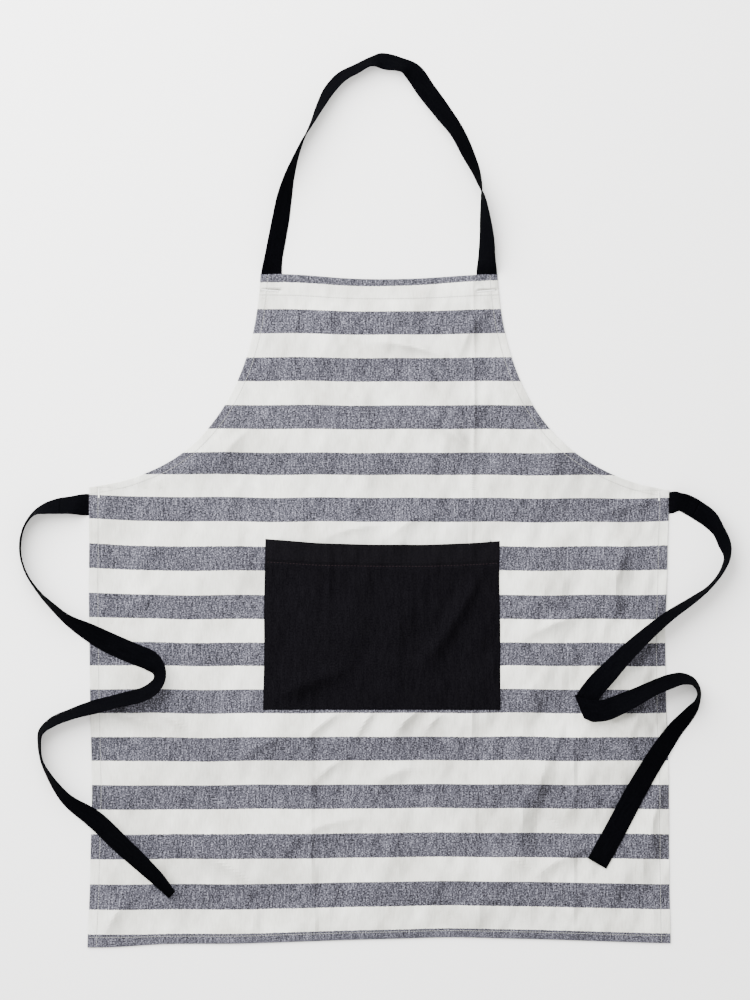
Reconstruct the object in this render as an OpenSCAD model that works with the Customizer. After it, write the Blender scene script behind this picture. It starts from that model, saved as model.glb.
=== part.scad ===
// Bib apron in striped cloth with black strap, ties and pocket, lying flat and face up.
// X is the width, +Y runs from the bottom hem to the neck loop, +Z is up off the table.

/* [Cloth] */
// Width of the skirt between its two side edges
skirt_w = 700; // [560:10:860]
// Length of the skirt from the bottom edge to the waist fold
skirt_len = 548; // [440:4:680]
// Length of the bib from the waist fold to its top edge
bib_len = 262; // [210:2:320]
// Width of the bib along its top edge
bib_top_w = 286; // [230:2:350]
// Thickness of one layer of the cloth
cloth_t = 0.5; // [0.4:0.1:0.8]

/* [Hems] */
// Depth of the turned hem down each side
side_hem_w = 12; // [8:1:20]
// Depth of the turned hem along the bottom
bottom_hem_w = 14; // [8:1:24]
// Depth of the turned hem along the top of the bib
bib_hem_w = 25; // [18:1:35]
// Depth of the turned hem along each armhole curve
armhole_hem_w = 10; // [6:1:14]

/* [Pocket] */
// Width of the pocket
pocket_w = 283; // [220:1:340]
// Height of the pocket from its bottom seam to its mouth
pocket_h = 204; // [160:1:250]
// Distance from the waist fold down to the pocket mouth
pocket_drop = 58; // [40:1:90]
// How far the pocket cloth stands off the skirt in the middle of the mouth
pocket_crown = 8; // [6:0.5:14]
// Depth of the turned hem along the pocket mouth
pocket_hem_w = 28; // [18:1:36]

/* [Straps] */
// Width of the neck strap
neck_w = 24; // [18:1:30]
// How far the neck loop stands above the bib
loop_h = 270; // [220:5:330]
// Width of each waist tie
tie_w = 25; // [18:1:30]
// Thickness of the strap webbing
strap_t = 1.0; // [0.8:0.1:1.4]
// Length of strap sewn in under the cloth at each end
strap_sewn = 24; // [14:1:24]

/* [Hidden] */
hem_layers = 2;
hem_h = hem_layers * cloth_t;
panel_z = hem_h;
panel_top = panel_z + cloth_t;
// One line of sewing thread, standing proud of the cloth
thread_w = 0.7;
thread_h = 0.3;
// Clearance at the waist fold, at each strap root and between layers that only rest together
fold_gap = 0.3;
root_gap = 0.5;
rest_gap = 0.4;
notch_gap = 0.3;
skin_gap = 0.08;
over = panel_top + thread_h + rest_gap;

hem_y = -(skirt_len + bib_len + loop_h) / 2;
waist_y = hem_y + skirt_len;
bib_top_y = waist_y + bib_len;
half_skirt = skirt_w / 2;
half_bib = bib_top_w / 2;
strap_x = half_bib - neck_w / 2 - 1;
tie_top_y = waist_y - 1;
tie_mid_y = tie_top_y - tie_w / 2;
pocket_x = 4;
pocket_top_y = waist_y - pocket_drop;
pocket_bottom_y = pocket_top_y - pocket_h;
seam_w = 8;
pocket_z = panel_top + cloth_t;
curve_steps = 28;

// Armhole curve, as distance below the bib top edge against half width
arm_a = [half_bib, 0];
arm_b = [half_bib + 7, 0.46 * bib_len];
arm_c = [half_bib + 0.275 * (half_skirt - half_bib), 0.9 * bib_len];
arm_d = [half_skirt, bib_len];

// Each strap route: x, y, height of the lower edge, heading of the cross line, tilt of the cross line
neck_route = [
  [-130, 0.5, 0, 180, 0], [-129, 14, 0, 178, 20], [-123, 49, 0, 174, 32], [-115, 91, 0, 172, 44],
  [-110, 122, 0, 168, 58], [-103, 143, 0, 156, 74], [-94, 164, 0, 145, 90], [-81, 190, 0, 140, 106],
  [-62, 222, 0, 140, 122], [-35, 248, 0, 128, 126], [-6, 261.4, 0, 100, 128], [16, 259, 0, 72, 140],
  [34, 251, 0, 48, 142], [48, 236, 0, 34, 158], [71, 205, 0, 32, 150], [95, 171, 0, 30, 134],
  [112, 138, 0, 26, 118], [124, 100, 0, 16, 90], [129, 66, 0, 8, 60], [130, 38, 0, 2, 42],
  [130, 14, 0, 0, 20], [130, 0.5, 0, 0, 0]
];
left_route = [
  [-0.5, 0, 0, -90, 0], [-18, 0, 0, -90, 24], [-37, -1, 0, -88, 36], [-53, -4, 0, -80, 54],
  [-64, -11, 0, -60, 78], [-73, -25, 0, -32, 84], [-78, -43, 0, -10, 84], [-78, -63, 0, 4, 85],
  [-72, -83, 0, 22, 84], [-60, -106, 0, 38, 84], [-43, -124, 0, 46, 78], [-26, -138, 0, 54, 66],
  [-1, -154, over, 62, 38], [28, -168, over, 66, 18], [56, -181, over, 66, 14],
  [75, -190, over, 62, 28], [83, -198, over, 45, 46], [85, -208, over, 12, 54],
  [80, -220, over, -25, 52], [69, -228, over, -52, 50], [53, -234, over, -66, 50],
  [34, -239, over, -70, 54], [8, -245, over, -66, 56], [-21, -253, 0, -60, 62],
  [-44, -263, 0, -50, 68], [-57, -276, 0, -28, 76], [-60, -291, 0, 0, 84], [-55, -310, 0, 25, 84],
  [-47, -326, 0, 38, 80], [-39, -341, 0, 46, 73], [-25, -357, 0, 50, 60], [1, -379, over, 52, 44],
  [44, -419, over, 48, 36], [66, -439, over, 48, 36], [83, -455, over, 50, 48],
  [100, -471, over, 50, 70]
];
right_route = [
  [0.5, 0, 0, 90, 0], [12, 1, 0, 86, 28], [24, -1, 0, 76, 32], [36, -8, 0, 64, 30],
  [49, -17, 0, 52, 32], [62, -30, 0, 42, 44], [73, -47, 0, 26, 62], [76, -63, 0, 4, 76],
  [68, -79, 0, -22, 80], [47, -98, 0, -42, 84], [29, -114, 0.6, -46, 80], [-7, -140, over, -47, 60],
  [-25, -154, over, -47, 60], [-54, -181, over, -46, 46], [-71, -200, over, -47, 26],
  [-87, -217, over, -54, 6], [-98, -231, over + 0.1, -62, 2], [-105, -241, over + 0.6, -68, 0],
  [-108.5, -244, over + 2.3, -68, 0], [-105, -245.5, over + 4.6, -68, 0],
  [-96, -248, over + 4.2, -72, 2], [-79, -247, over + 3, -74, 8], [-62, -242, over, -74, 24],
  [-40, -232, over, -71, 38], [-20, -222, over, -69, 45], [0, -213, over, -72, 50],
  [16, -210, 0, -82, 58], [28, -214, 0, -108, 70], [35, -226, 0, -150, 82],
  [34, -236, 0, -190, 80], [29, -245, 0, -208, 68], [21, -256, 0, -214, 54],
  [9, -270, over, -217, 40], [-7, -293, over, -216, 26], [-32, -333, over, -214, 20],
  [-64, -390, over, -210, 14], [-87, -433, over, -210, 8]
];

function bez(t) = pow(1 - t, 3) * arm_a + 3 * t * pow(1 - t, 2) * arm_b
  + 3 * t * t * (1 - t) * arm_c + pow(t, 3) * arm_d;
function bez_in(t) = let (d = bez(min(t + 0.01, 1)) - bez(max(t - 0.01, 0)))
  [-d[1], d[0]] / norm(d);
// A point set in from the armhole edge, kept on the bib side of the waist fold
function arm_at(t, inset) = let (p = bez(t) + inset * bez_in(t))
  [p[0], min(p[1], bib_len - fold_gap / 2)];
function on_bib(side, p) = [side * p[0], bib_top_y - p[1]];

function step_of(a, b) = max(1, norm([b[0] - a[0], b[1] - a[1]]));
function slope_at(s, i) = i == 0 ? (s[1] - s[0]) / step_of(s[0], s[1])
  : i == len(s) - 1 ? (s[i] - s[i - 1]) / step_of(s[i - 1], s[i])
  : let (g = step_of(s[i - 1], s[i]), h = step_of(s[i], s[i + 1]))
    ((s[i] - s[i - 1]) * h / g + (s[i + 1] - s[i]) * g / h) / (g + h);
function between(s, i, u) = let (h = step_of(s[i], s[i + 1]))
  (2 * u * u * u - 3 * u * u + 1) * s[i] + (u * u * u - 2 * u * u + u) * h * slope_at(s, i)
  + (3 * u * u - 2 * u * u * u) * s[i + 1] + (u * u * u - u * u) * h * slope_at(s, i + 1);
function eased(s, n) = [for (i = [0 : len(s) - 2]) for (k = [0 : n - 1]) between(s, i, k / n),
  s[len(s) - 1]];
function cross_dir(p) = [cos(p[3]) * cos(p[4]), sin(p[3]) * cos(p[4]), sin(p[4])];
function centre_of(p, w) = [p[0], p[1],
  p[2] + w / 2 * abs(sin(p[4])) + strap_t / 2 * abs(cos(p[4]))];
function unit(v) = v / max(0.000001, norm(v));
function ring(c, i, r, w) =
  let (t = unit(c[min(i + 1, len(c) - 1)] - c[max(i - 1, 0)]), x = cross(t, r),
       h = w / 2 / max(0.5, norm(x)), n = unit(x) * strap_t / 2)
  [c[i] + h * r + n, c[i] + h * r - n, c[i] - h * r - n, c[i] - h * r + n];

// Drops or lifts one ring so that its lowest corner lies at the route's height
function rested(g, base) = let (low = min([for (p = g) p[2]]))
  [for (p = g) p + [0, 0, max(base, 0) - low]];

module ribbon(route, w, n) {
  q = eased(route, n);
  c = [for (p = q) centre_of(p, w)];
  m = len(q);
  rings = [for (i = [0 : m - 1]) rested(ring(c, i, cross_dir(q[i]), w), q[i][2])];
  pts = [for (r = rings) for (p = r) p];
  // Both broad faces are split along the same diagonal, so the strap keeps its thickness in a twist
  sides = [for (i = [0 : m - 2]) for (k = [0 : 3]) for (f = [0 : 1])
    let (a = 4 * i + k, b = 4 * i + (k + 1) % 4)
    k == 3 ? (f == 0 ? [a, b, b + 4] : [a, b + 4, a + 4])
      : (f == 0 ? [a, b, a + 4] : [b, b + 4, a + 4])];
  e = 4 * (m - 1);
  caps = [[0, 2, 1], [0, 3, 2], [e, e + 1, e + 2], [e, e + 2, e + 3]];
  polyhedron(points = pts, faces = concat(sides, caps), convexity = 12);
}

module slab(x0, x1, y0, y1, z0, h) {
  translate([x0, y0, z0])
    cube([x1 - x0, y1 - y0, h]);
}

// A strip that follows the armhole between two insets, over part of the curve
module arm_strip(side, t0, t1, in_a, in_b, z0, h) {
  step = (t1 - t0) / curve_steps;
  a = [for (i = [0 : curve_steps]) on_bib(side, arm_at(t0 + i * step, in_a))];
  b = [for (i = [curve_steps : -1 : 0]) on_bib(side, arm_at(t0 + i * step, in_b))];
  translate([0, 0, z0])
    linear_extrude(height = h)
      polygon(concat(a, b));
}

// Height of the pocket cloth above its sewn edges
function puff(u, v) = pocket_crown * pow(1 - u * u, 1.2) * (1 - pow(v, 3));

// A curved layer between x and y limits, with its underside the given amount above the pocket base
module pocket_layer(u0, u1, v0, v1, nu, nv, low, high) {
  cells = nu + 1;
  spot = [for (j = [0 : nv]) for (i = [0 : nu])
    [u0 + (u1 - u0) * i / nu, v0 + (v1 - v0) * j / nv]];
  size = len(spot);
  bottom = [for (s = spot) [pocket_x + s[0] * pocket_w / 2, pocket_top_y - s[1] * pocket_h,
    pocket_z + puff(s[0], s[1]) + low]];
  top = [for (p = bottom) [p[0], p[1], p[2] + high - low]];
  lower = [for (j = [0 : nv - 1]) for (i = [0 : nu - 1]) for (f = [0 : 1])
    let (a = j * cells + i) f == 0 ? [a, a + 1, a + cells + 1] : [a, a + cells + 1, a + cells]];
  upper = [for (t = lower) [t[2] + size, t[1] + size, t[0] + size]];
  rim = concat([for (i = [0 : nu]) i], [for (j = [1 : nv]) j * cells + nu],
    [for (i = [nu - 1 : -1 : 0]) nv * cells + i], [for (j = [nv - 1 : -1 : 1]) j * cells]);
  m = len(rim);
  wall = [for (k = [0 : m - 1]) for (f = [0 : 1]) let (a = rim[k], b = rim[(k + 1) % m])
    f == 0 ? [b, a, a + size] : [b, a + size, b + size]];
  polyhedron(points = concat(bottom, top), faces = concat(lower, upper, wall), convexity = 6);
}

white = [0.90, 0.90, 0.88];
grey = [0.52, 0.53, 0.57];
black = [0.07, 0.07, 0.09];
thread = [0.96, 0.96, 0.94];

module skirt_panel() {
  color(white)
    slab(-half_skirt, half_skirt, hem_y, waist_y - fold_gap / 2, panel_z, cloth_t);
}

// The side hems start just below the tie ends, which take their place at the corners
module side_hem(side) {
  a = side * half_skirt;
  b = side * (half_skirt - side_hem_w);
  color(white)
    slab(min(a, b), max(a, b), hem_y + bottom_hem_w, tie_top_y - tie_w - notch_gap, 0, hem_h);
}

module left_side_hem() {
  side_hem(-1);
}

module right_side_hem() {
  side_hem(1);
}

module bottom_hem() {
  color(white)
    slab(-half_skirt, half_skirt, hem_y, hem_y + bottom_hem_w, 0, hem_h);
}

module side_stitches(side) {
  x = side * (half_skirt - side_hem_w + 1);
  color(thread)
    slab(x - thread_w / 2, x + thread_w / 2, hem_y + bottom_hem_w, tie_top_y - tie_w - 2,
         panel_top, thread_h);
}

module left_side_stitches() {
  side_stitches(-1);
}

module right_side_stitches() {
  side_stitches(1);
}

module bottom_hem_stitches() {
  y = hem_y + bottom_hem_w - 1;
  color(thread)
    slab(-half_skirt + 1, half_skirt - 1, y - thread_w, y, panel_top, thread_h);
}

module tie_end(side) {
  a = side * half_skirt;
  b = side * (half_skirt - strap_sewn);
  color(black)
    slab(min(a, b), max(a, b), tie_top_y - tie_w, tie_top_y, hem_h - strap_t, strap_t);
}

module left_tie_end() {
  tie_end(-1);
}

module right_tie_end() {
  tie_end(1);
}

// A short dense bar of thread that locks the corner of each sewn-in strap
module tie_tack(side) {
  x = side * (half_skirt - side_hem_w);
  color(thread)
    slab(x - 1, x + 1, tie_top_y - 12, tie_top_y - 1, panel_top, thread_h);
}

module left_tie_tack() {
  tie_tack(-1);
}

module right_tie_tack() {
  tie_tack(1);
}

module pocket_panel() {
  color(black)
    pocket_layer(-1, 1, 0, 1, 24, 14, 0, cloth_t);
}

module pocket_mouth_hem() {
  color(black)
    pocket_layer(-11 / 12, 11 / 12, 0, pocket_hem_w / pocket_h, 22, 3, -cloth_t - skin_gap,
                 -skin_gap);
}

module pocket_seam_allowance() {
  l = pocket_x - pocket_w / 2;
  r = pocket_x + pocket_w / 2;
  color(black)
    translate([0, 0, panel_top])
      linear_extrude(height = cloth_t)
        polygon([[l, pocket_bottom_y], [r, pocket_bottom_y], [r, pocket_top_y],
          [r - seam_w, pocket_top_y], [r - seam_w, pocket_bottom_y + seam_w],
          [l + seam_w, pocket_bottom_y + seam_w], [l + seam_w, pocket_top_y],
          [l, pocket_top_y]]);
}

module pocket_mouth_stitches() {
  v = (pocket_hem_w - 1) / pocket_h;
  color(black)
    pocket_layer(-11 / 12, 11 / 12, v, v + thread_w / pocket_h, 22, 1, cloth_t + skin_gap,
                 cloth_t + thread_h);
}

module pocket_edge_stitches() {
  k = 1 - 4 / pocket_w;
  e = 2 * thread_w / pocket_w;
  v = 1 - 2 / pocket_h;
  color(black) {
    pocket_layer(-k - e, -k, 0.01, v, 1, 14, cloth_t + skin_gap, cloth_t + thread_h);
    pocket_layer(k, k + e, 0.01, v, 1, 14, cloth_t + skin_gap, cloth_t + thread_h);
    pocket_layer(-k - e, k + e, v - thread_w / pocket_h, v, 24, 1, cloth_t + skin_gap,
                 cloth_t + thread_h);
  }
}

module bib_panel() {
  r = [for (i = [0 : curve_steps]) on_bib(1, arm_at(i / curve_steps, 0))];
  l = [for (i = [curve_steps : -1 : 0]) on_bib(-1, arm_at(i / curve_steps, 0))];
  color(white)
    translate([0, 0, panel_z])
      linear_extrude(height = cloth_t)
        polygon(concat(r, l));
}

// The top hem runs between the two strap ends
module bib_top_hem() {
  x = strap_x - neck_w / 2 - notch_gap;
  color(grey)
    slab(-x, x, bib_top_y - bib_hem_w, bib_top_y, 0, hem_h);
}

// The armhole hem starts where the strap end stops
module left_armhole_hem() {
  color(white)
    arm_strip(-1, 0.09, 1, 0, armhole_hem_w, 0, hem_h);
}

module right_armhole_hem() {
  color(white)
    arm_strip(1, 0.09, 1, 0, armhole_hem_w, 0, hem_h);
}

module bib_hem_stitches() {
  y = bib_top_y - bib_hem_w + 1;
  color(thread)
    slab(-half_bib + 1, half_bib - 1, y, y + thread_w, panel_top, thread_h);
}

module left_armhole_stitches() {
  color(thread)
    arm_strip(-1, 0.09, 0.94, armhole_hem_w - 1 - thread_w, armhole_hem_w - 1, panel_top,
              thread_h);
}

module right_armhole_stitches() {
  color(thread)
    arm_strip(1, 0.09, 0.94, armhole_hem_w - 1 - thread_w, armhole_hem_w - 1, panel_top,
              thread_h);
}

module neck_strap_end(side) {
  x = side * strap_x;
  color(black)
    slab(x - neck_w / 2, x + neck_w / 2, bib_top_y - strap_sewn, bib_top_y, hem_h - strap_t,
         strap_t);
}

module left_neck_strap_end() {
  neck_strap_end(-1);
}

module right_neck_strap_end() {
  neck_strap_end(1);
}

module neck_strap_tack(side) {
  x = side * strap_x;
  y = bib_top_y - strap_sewn + 3;
  color(thread)
    slab(x - neck_w / 2, x + neck_w / 2, y, y + 2, panel_top, thread_h);
}

module left_neck_strap_tack() {
  neck_strap_tack(-1);
}

module right_neck_strap_tack() {
  neck_strap_tack(1);
}

module neck_strap() {
  k = strap_x / 130;
  g = loop_h / 270;
  color(black)
    ribbon([for (p = neck_route) [p[0] * k, bib_top_y + p[1] * g, p[2], p[3], p[4]]], neck_w, 3);
}

module left_waist_tie() {
  color(black)
    ribbon([for (p = left_route)
      [p[0] - half_skirt, tie_mid_y + p[1], p[2], p[3], p[4]]], tie_w, 2);
}

module right_waist_tie() {
  color(black)
    ribbon([for (p = right_route)
      [p[0] + half_skirt, tie_mid_y + p[1], p[2], p[3], p[4]]], tie_w, 2);
}

skirt_panel();
left_side_hem();
right_side_hem();
bottom_hem();
left_side_stitches();
right_side_stitches();
bottom_hem_stitches();
left_tie_end();
right_tie_end();
left_tie_tack();
right_tie_tack();
pocket_panel();
pocket_mouth_hem();
pocket_seam_allowance();
pocket_mouth_stitches();
pocket_edge_stitches();
bib_panel();
bib_top_hem();
left_armhole_hem();
right_armhole_hem();
bib_hem_stitches();
left_armhole_stitches();
right_armhole_stitches();
left_neck_strap_end();
right_neck_strap_end();
left_neck_strap_tack();
right_neck_strap_tack();
neck_strap();
left_waist_tie();
right_waist_tie();
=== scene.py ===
"""A striped bib apron with black straps and pocket, lying flat and seen from straight above."""

import math

import bpy
import numpy as np
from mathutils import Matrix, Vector


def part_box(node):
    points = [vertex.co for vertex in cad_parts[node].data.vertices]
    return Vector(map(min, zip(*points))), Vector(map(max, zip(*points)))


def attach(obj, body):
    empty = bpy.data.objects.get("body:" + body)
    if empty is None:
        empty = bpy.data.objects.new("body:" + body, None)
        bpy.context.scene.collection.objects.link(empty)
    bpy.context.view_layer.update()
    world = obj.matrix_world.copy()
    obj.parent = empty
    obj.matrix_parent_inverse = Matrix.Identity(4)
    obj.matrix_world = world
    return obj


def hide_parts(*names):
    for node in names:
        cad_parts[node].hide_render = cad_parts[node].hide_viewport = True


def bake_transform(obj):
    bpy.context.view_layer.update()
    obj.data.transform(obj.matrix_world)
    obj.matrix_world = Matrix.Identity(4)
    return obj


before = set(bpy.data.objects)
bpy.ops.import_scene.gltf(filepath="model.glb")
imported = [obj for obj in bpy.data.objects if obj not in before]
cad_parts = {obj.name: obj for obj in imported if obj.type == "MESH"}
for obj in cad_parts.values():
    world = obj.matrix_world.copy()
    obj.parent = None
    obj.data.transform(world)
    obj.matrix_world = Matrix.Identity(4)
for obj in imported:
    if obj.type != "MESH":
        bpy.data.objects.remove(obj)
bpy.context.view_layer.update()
MM = 0.001


# ------------------------ sizes, in millimetres

skirt_lo, skirt_hi = (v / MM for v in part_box("skirt_panel"))
bib_lo, bib_hi = (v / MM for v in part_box("bib_panel"))
strap_lo, strap_hi = (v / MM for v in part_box("right_neck_strap_end"))
tie_lo, tie_hi = (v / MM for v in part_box("right_tie_end"))
pocket_lo, pocket_hi = (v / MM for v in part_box("pocket_panel"))

HALF = skirt_hi.x
HEM_Y = skirt_lo.y
WAIST_Y = (skirt_hi.y + bib_lo.y) / 2
BIB_Y = bib_hi.y
NECK_W = strap_hi.x - strap_lo.x
STRAP_X = (strap_hi.x + strap_lo.x) / 2
HALF_BIB = strap_hi.x + 1
BIB_LEN = BIB_Y - WAIST_Y
TIE_W = tie_hi.y - tie_lo.y
TIE_Y = (tie_hi.y + tie_lo.y) / 2
SEWN = strap_hi.y - strap_lo.y
POCKET = (pocket_lo.x, pocket_hi.x, pocket_lo.y, pocket_hi.y)

CLOTH_T = 0.5
HEM_H = 1.0
STRAP_T = 1.35
SIDE_HEM, BOTTOM_HEM, BIB_HEM, ARM_HEM = 12.0, 14.0, 25.0, 10.0
POCKET_HEM = 28.0
TABLE_GAP = 0.03  # the straps lie this far above the table
ROOT_LENGTH = 32  # how far past the side hem a tie twists when it is lifted
STRIPE_REPEAT = 0.058  # one grey and one white band, in metres as in the materials
FIRST_BAND_TOP = 0.2305
STEPS = 7  # stations between two points of a strap route
SEWN_RINGS = 2 * STEPS + 1  # the first two steps of a route are sewn in

# Each strap route: x, y, how it rests, heading of the cross line and tilt of the cross line in degrees.
# How it rests: 0 on the table, 1 on the cloth, and more than 1 lifts it off the cloth.
# The neck's points are measured from the middle of the bib's top edge, the ties' from their own seams.
NECK_ROUTE = [
    (-130, -24, 0, 180, 0), (-130, -10, 0, 180, 0), (-130, 0.5, 0, 180, 0), (-128.5, 14, 0, 174, 22),
    (-123, 44, 0, 170, 31), (-118.5, 68, 0, 169, 34), (-114.3, 92, 0, 167, 43), (-106.5, 124, 0, 163, 65),
    (-98.3, 148, 0, 159, 82), (-92, 163, 0, 157, 89), (-81, 184, 0, 155, 99), (-70.8, 205, 0, 150, 114),
    (-59, 225, 0, 142, 125), (-45, 240, 0, 127, 125), (-26, 250.3, 0, 117, 121), (-10, 258, 0, 109, 121),
    (-4, 259, 0, 100, 130), (2, 259.3, 0, 92, 143), (12, 257.8, 0, 80, 147), (24, 255.2, 0, 68, 138),
    (33.5, 252, 0, 56, 139), (40, 247, 0, 46, 153), (56.3, 224.8, 0, 37, 159), (77.4, 197, 0, 36, 150),
    (95.2, 172, 0, 31, 136), (107, 148, 0, 25, 130), (117.3, 124.3, 0, 20, 114), (122, 108, 0, 16, 99),
    (124.8, 96, 0, 11, 83), (127.2, 76, 0, 5, 65), (130, 44, 0, 0, 45), (130, 14, 0, 0, 25),
    (130, 0.5, 0, 0, 0), (130, -10, 0, 0, 0), (130, -24, 0, 0, 0),
]
LEFT_ROUTE = [
    (24, 0, 0, -90, 0), (10, 0, 0, -90, 0), (-0.5, 0, 0, -90, 0), (-18, -0.5, 0, -90, 31),
    (-37, -1.8, 0, -86, 44), (-53, -5, 0, -76, 61), (-65, -10, 0, -52, 79), (-76, -24, 0, -28, 84),
    (-81.5, -43, 0, -10, 83), (-81.5, -63, 0, 7, 84), (-75, -83, 0, 24, 84), (-60, -105.2, 0, 37, 81),
    (-43.3, -122.4, 0, 46, 71), (-27.3, -137, 0, 54, 61), (-0.6, -153.2, 1, 62, 34),
    (28, -168.3, 1, 66, 12), (56.3, -180.6, 1, 66, 12), (75.7, -189.3, 1, 60, 20),
    (84.3, -197.6, 1, 42, 43), (86.2, -208, 1, 8, 53), (79.6, -219.6, 1, -28, 51),
    (68.7, -227.2, 1, -54, 51), (53, -232.5, 1, -67, 50), (34, -236.8, 1, -72, 54),
    (8, -243.6, 1, -70, 52), (-21, -252.5, 0, -64, 61), (-44.2, -262.7, 0, -52, 65),
    (-58, -275.5, 0, -28, 75), (-59.2, -291, 0, 0, 80), (-55.7, -309.8, 0, 22, 81),
    (-47.7, -326, 0, 32, 73), (-38.2, -340.5, 0, 42, 63), (-24.7, -356.8, 0, 48, 51),
    (3.4, -376.4, 1, 50, 29), (46.3, -416.6, 1, 47, 29), (68.2, -436.7, 1, 47, 37),
    (85.2, -452.8, 1, 48, 46), (100.8, -470.2, 1, 49, 61),
]
RIGHT_ROUTE = [
    (-24, 0, 0, 90, 0), (-10, 0.8, 0, 90, 0), (0.5, 2.0, 0, 90, 0), (12, 3.3, 0, 86, 30),
    (24, -1, 0, 74, 27), (36, -8.2, 0, 62, 28), (48.6, -17.5, 0, 51, 35), (59, -31.6, 0, 38, 55),
    (66.4, -47.9, 0, 20, 57), (69.3, -63, 0, -4, 76), (63.5, -79.7, 0, -28, 84),
    (48.8, -98.8, 0, -43, 85), (29.4, -113.7, 0.3, -48, 75), (-7.5, -139.4, 1, -49, 61),
    (-24.7, -154.2, 1, -48, 54), (-53.8, -181.2, 1, -46, 40), (-71, -200, 1, -47, 26),
    (-87, -217, 1, -54, 6), (-97.5, -230.5, 1.05, -65, 1), (-104.5, -240, 1.3, -68, 0),
    (-108, -243.8, 2.3, -68, 0), (-104.5, -245.5, 3.6, -68, 1), (-96, -248, 3.9, -72, 4),
    (-79, -248, 3.4, -74, 8), (-62, -242, 2.0, -73, 21), (-40, -231.5, 1, -70, 38),
    (-20, -221.5, 1, -68, 48), (0, -213.3, 1, -72, 50), (16, -209.5, 0, -84, 59),
    (28.6, -213.2, 0, -110, 71), (35.6, -226, 0, -152, 77), (34, -236, 0, -190, 73),
    (29, -245, 0, -208, 58), (20.6, -255.7, 0, -214, 47), (8.4, -269.5, 1, -216, 38),
    (-7.8, -292.3, 1, -215, 27), (-32.8, -332.6, 1, -213, 16), (-63.5, -390, 1, -210, 4),
    (-87, -433, 1, -210, 4),
]

# ------------------------ small helpers


def smooth(a, b, x):
    t = np.clip((x - a) / (b - a), 0, 1)
    return t * t * (3 - 2 * t)


def bell(x, centre, width):
    return np.exp(-(((x - centre) / width) ** 2))


def ripples(x, y, seed, wavelength, count=7):
    """A smooth, repeatable unevenness between about -1 and 1."""
    rng = np.random.default_rng(seed)
    total = np.zeros(np.broadcast(x, y).shape)
    for _ in range(count):
        a = rng.uniform(0, math.pi)
        k = 2 * math.pi / (wavelength * rng.uniform(0.7, 1.5))
        total = total + np.sin(k * (x * math.cos(a) + y * math.sin(a)) + rng.uniform(0, 6.3))
    return total / count ** 0.5 / 1.4


def new_mesh(name, points, faces, material, flat=None, seam=None, relief=None):
    me = bpy.data.meshes.new(name)
    me.from_pydata((np.asarray(points) * MM).tolist(), [], [tuple(int(i) for i in f) for f in faces])
    me.polygons.foreach_set("use_smooth", [True] * len(me.polygons))
    attributes = (("flat", flat, "FLOAT_VECTOR"), ("seam", seam, "FLOAT"), ("relief", relief, "FLOAT"))
    for label, values, kind in attributes:
        if values is not None:
            att = me.attributes.new(label, kind, "POINT")
            key = "vector" if kind == "FLOAT_VECTOR" else "value"
            att.data.foreach_set(key, (np.asarray(values, float) * MM).astype(np.float32).ravel())
    me.materials.append(material)
    me.update()
    ob = bpy.data.objects.new(name, me)
    bpy.context.scene.collection.objects.link(ob)
    return ob


def layer(name, top, bottom, flat, material, seam=None, relief=None):
    """A closed layer between two grids of points, both rows by columns by 3."""
    n, m = top.shape[:2]
    size = n * m
    idx = np.arange(size).reshape(n, m)
    a, b, c, d = idx[:-1, :-1], idx[:-1, 1:], idx[1:, 1:], idx[1:, :-1]
    up = np.stack([a, b, c, d], -1).reshape(-1, 4)
    corner = top[0, 0], top[0, -1], top[-1, 0]
    turn = np.cross(corner[1] - corner[0], corner[2] - corner[0])[2]
    if turn < 0:
        up = up[:, ::-1]
    down = up[:, ::-1] + size
    rim = np.concatenate([idx[0, :-1], idx[:-1, -1], idx[-1, :0:-1], idx[:0:-1, 0]])
    nxt = np.roll(rim, -1)
    wall = np.stack([rim, rim + size, nxt + size, nxt], -1)
    if turn < 0:
        wall = wall[:, ::-1]
    points = np.concatenate([top.reshape(-1, 3), bottom.reshape(-1, 3)])
    both = np.concatenate([flat.reshape(-1, 3)] * 2)
    seams = None if seam is None else np.concatenate([seam.ravel()] * 2)
    hills = None if relief is None else np.concatenate([relief.ravel(), -relief.ravel()])
    return new_mesh(name, points, np.concatenate([up, down, wall]), material, both, seams, hills)


# ------------------------ the outline and how the cloth lies

ARM = np.array([
    (HALF_BIB, 0),
    (HALF_BIB + 7, 0.46 * BIB_LEN),
    (HALF_BIB + 0.275 * (HALF - HALF_BIB), 0.9 * BIB_LEN),
    (HALF, BIB_LEN),
])


def armhole(t):
    t = np.asarray(t, float)[..., None]
    return ((1 - t) ** 3 * ARM[0] + 3 * t * (1 - t) ** 2 * ARM[1]
            + 3 * t * t * (1 - t) * ARM[2] + t ** 3 * ARM[3])


def even_steps(count):
    """Values of t that divide the armhole curve into equal lengths."""
    t = np.linspace(0, 1, 400)
    p = armhole(t)
    run = np.concatenate([[0], np.cumsum(np.hypot(*np.diff(p, axis=0).T))])
    return np.interp(np.linspace(0, run[-1], count), run, t)


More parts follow.
